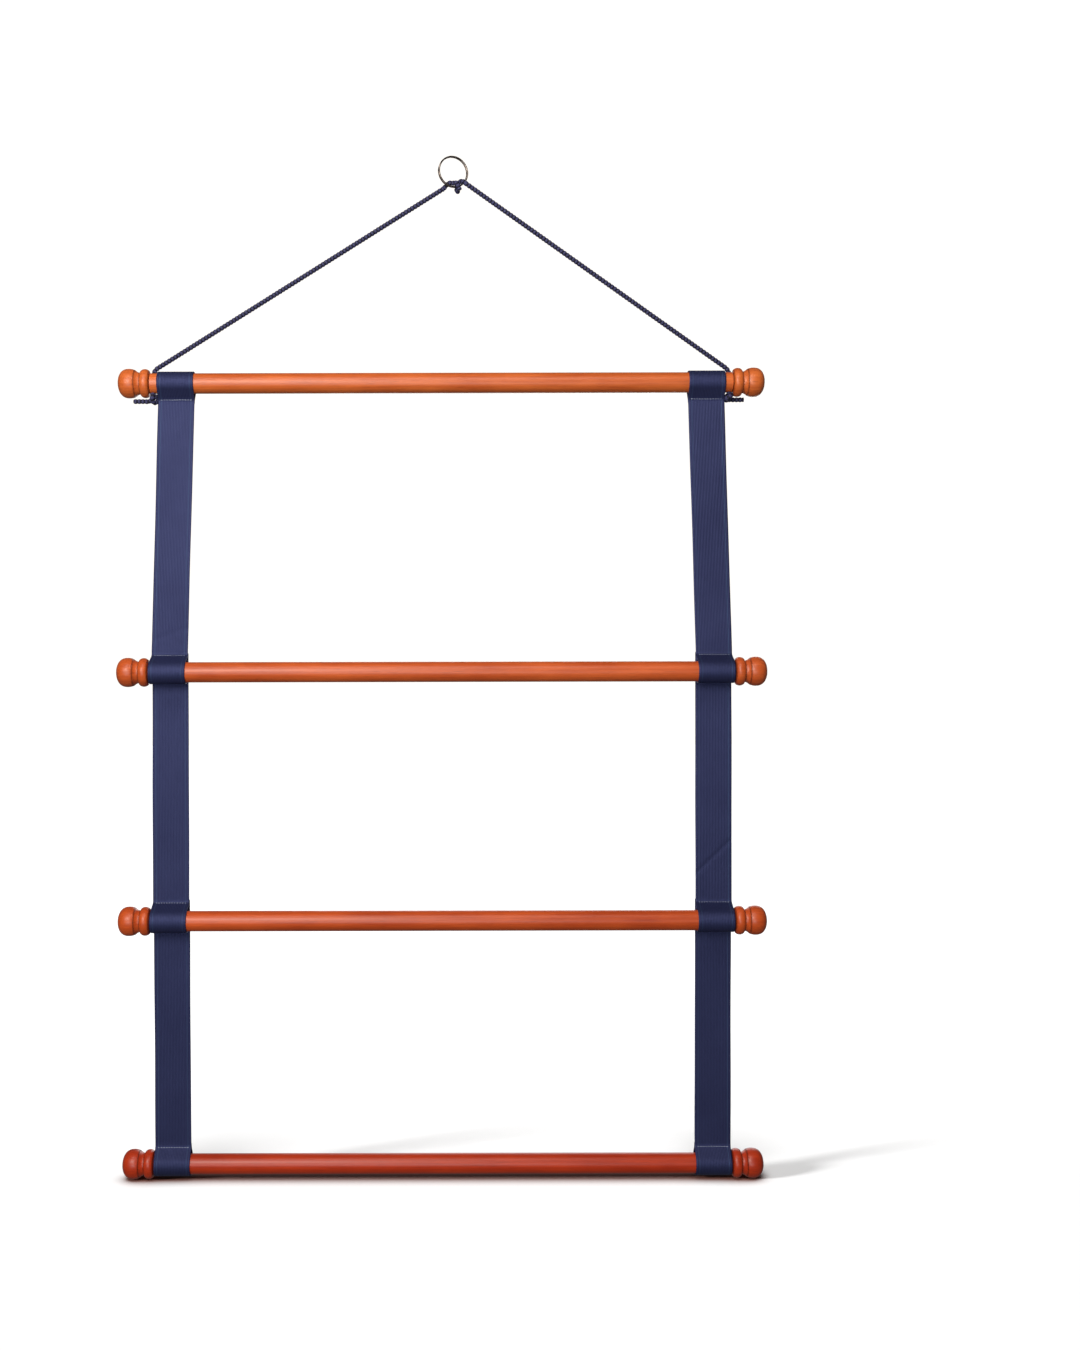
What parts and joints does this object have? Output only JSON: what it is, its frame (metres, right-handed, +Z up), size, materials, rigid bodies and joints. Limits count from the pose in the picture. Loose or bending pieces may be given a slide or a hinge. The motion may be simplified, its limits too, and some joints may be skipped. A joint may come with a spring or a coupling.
{
  "type": "hanging quilt rack",
  "caption": "Hanging textile rack: turned wooden rails held one below another in sewn loops of webbing straps, hung by a braided cord from a wire ring.",
  "frame": {"origin": "the point inside the top of the ring where it bears on a hook", "axes": "+Z up, +X to the right seen from the front, which faces -Y, so the rails run along X"},
  "size_m": [0.711, 0.0571, 1.1299],
  "materials": {
    "stained_wood": "orange-brown stain under satin lacquer",
    "navy_webbing": "matte woven webbing",
    "navy_cord": "matte braid",
    "nickel_wire": "nickel plated"
  },
  "bodies": {
    "hook_ring": {"hanging_ring": "nickel_wire"},
    "bridle": {"left_ring_hitch": "navy_cord", "right_ring_hitch": "navy_cord", "left_cord": "navy_cord", "right_cord": "navy_cord", "left_stopper_knot": "navy_cord", "right_stopper_knot": "navy_cord", "left_cord_tail": "navy_cord", "right_cord_tail": "navy_cord", "top_rail_rod": "stained_wood", "top_rail_left_finial": "stained_wood", "top_rail_right_finial": "stained_wood"},
    "upper_straps": {"left_strap_upper": "navy_webbing", "right_strap_upper": "navy_webbing"},
    "middle_straps": {"left_strap_middle": "navy_webbing", "right_strap_middle": "navy_webbing"},
    "second_rail": {"second_rail_rod": "stained_wood", "second_rail_left_finial": "stained_wood", "second_rail_right_finial": "stained_wood"},
    "lower_straps": {"left_strap_lower": "navy_webbing", "right_strap_lower": "navy_webbing"},
    "third_rail": {"third_rail_rod": "stained_wood", "third_rail_left_finial": "stained_wood", "third_rail_right_finial": "stained_wood"},
    "bottom_loops": {"left_strap_bottom_loop": "navy_webbing", "right_strap_bottom_loop": "navy_webbing"},
    "bottom_rail": {"bottom_rail_rod": "stained_wood", "bottom_rail_left_finial": "stained_wood", "bottom_rail_right_finial": "stained_wood"}
  },
  "joints": [
    {"name": "bridle_swing", "type": "hinge", "parent": "hook_ring", "child": "bridle", "pos_m": [0, 0, -0.0314], "axis": [1, 0, 0], "range_deg": [-60, 60]},
    {"name": "upper_strap_swing", "type": "hinge", "parent": "bridle", "child": "upper_straps", "pos_m": [-0.0135, 0, -0.2475], "axis": [1, 0, 0], "range_deg": [-120, 120]},
    {"name": "middle_strap_bend", "type": "hinge", "parent": "upper_straps", "child": "middle_straps", "pos_m": [-0.0135, 0, -0.541], "axis": [1, 0, 0], "range_deg": [-100, 100]},
    {"name": "second_rail_spin", "type": "hinge", "parent": "middle_straps", "child": "second_rail", "pos_m": [-0.0135, -0.01045, -0.5655], "axis": [1, 0, 0], "continuous": true},
    {"name": "lower_strap_bend", "type": "hinge", "parent": "middle_straps", "child": "lower_straps", "pos_m": [-0.0135, 0.0049, -0.814], "axis": [1, 0, 0], "range_deg": [-100, 100]},
    {"name": "third_rail_spin", "type": "hinge", "parent": "lower_straps", "child": "third_rail", "pos_m": [-0.0135, -0.00555, -0.8385], "axis": [1, 0, 0], "continuous": true},
    {"name": "bottom_loop_bend", "type": "hinge", "parent": "lower_straps", "child": "bottom_loops", "pos_m": [-0.0135, 0.0146, -1.087], "axis": [1, 0, 0], "range_deg": [-100, 100]},
    {"name": "bottom_rail_spin", "type": "hinge", "parent": "bottom_loops", "child": "bottom_rail", "pos_m": [-0.0135, 0.0146, -1.1115], "axis": [1, 0, 0], "continuous": true}
  ]
}
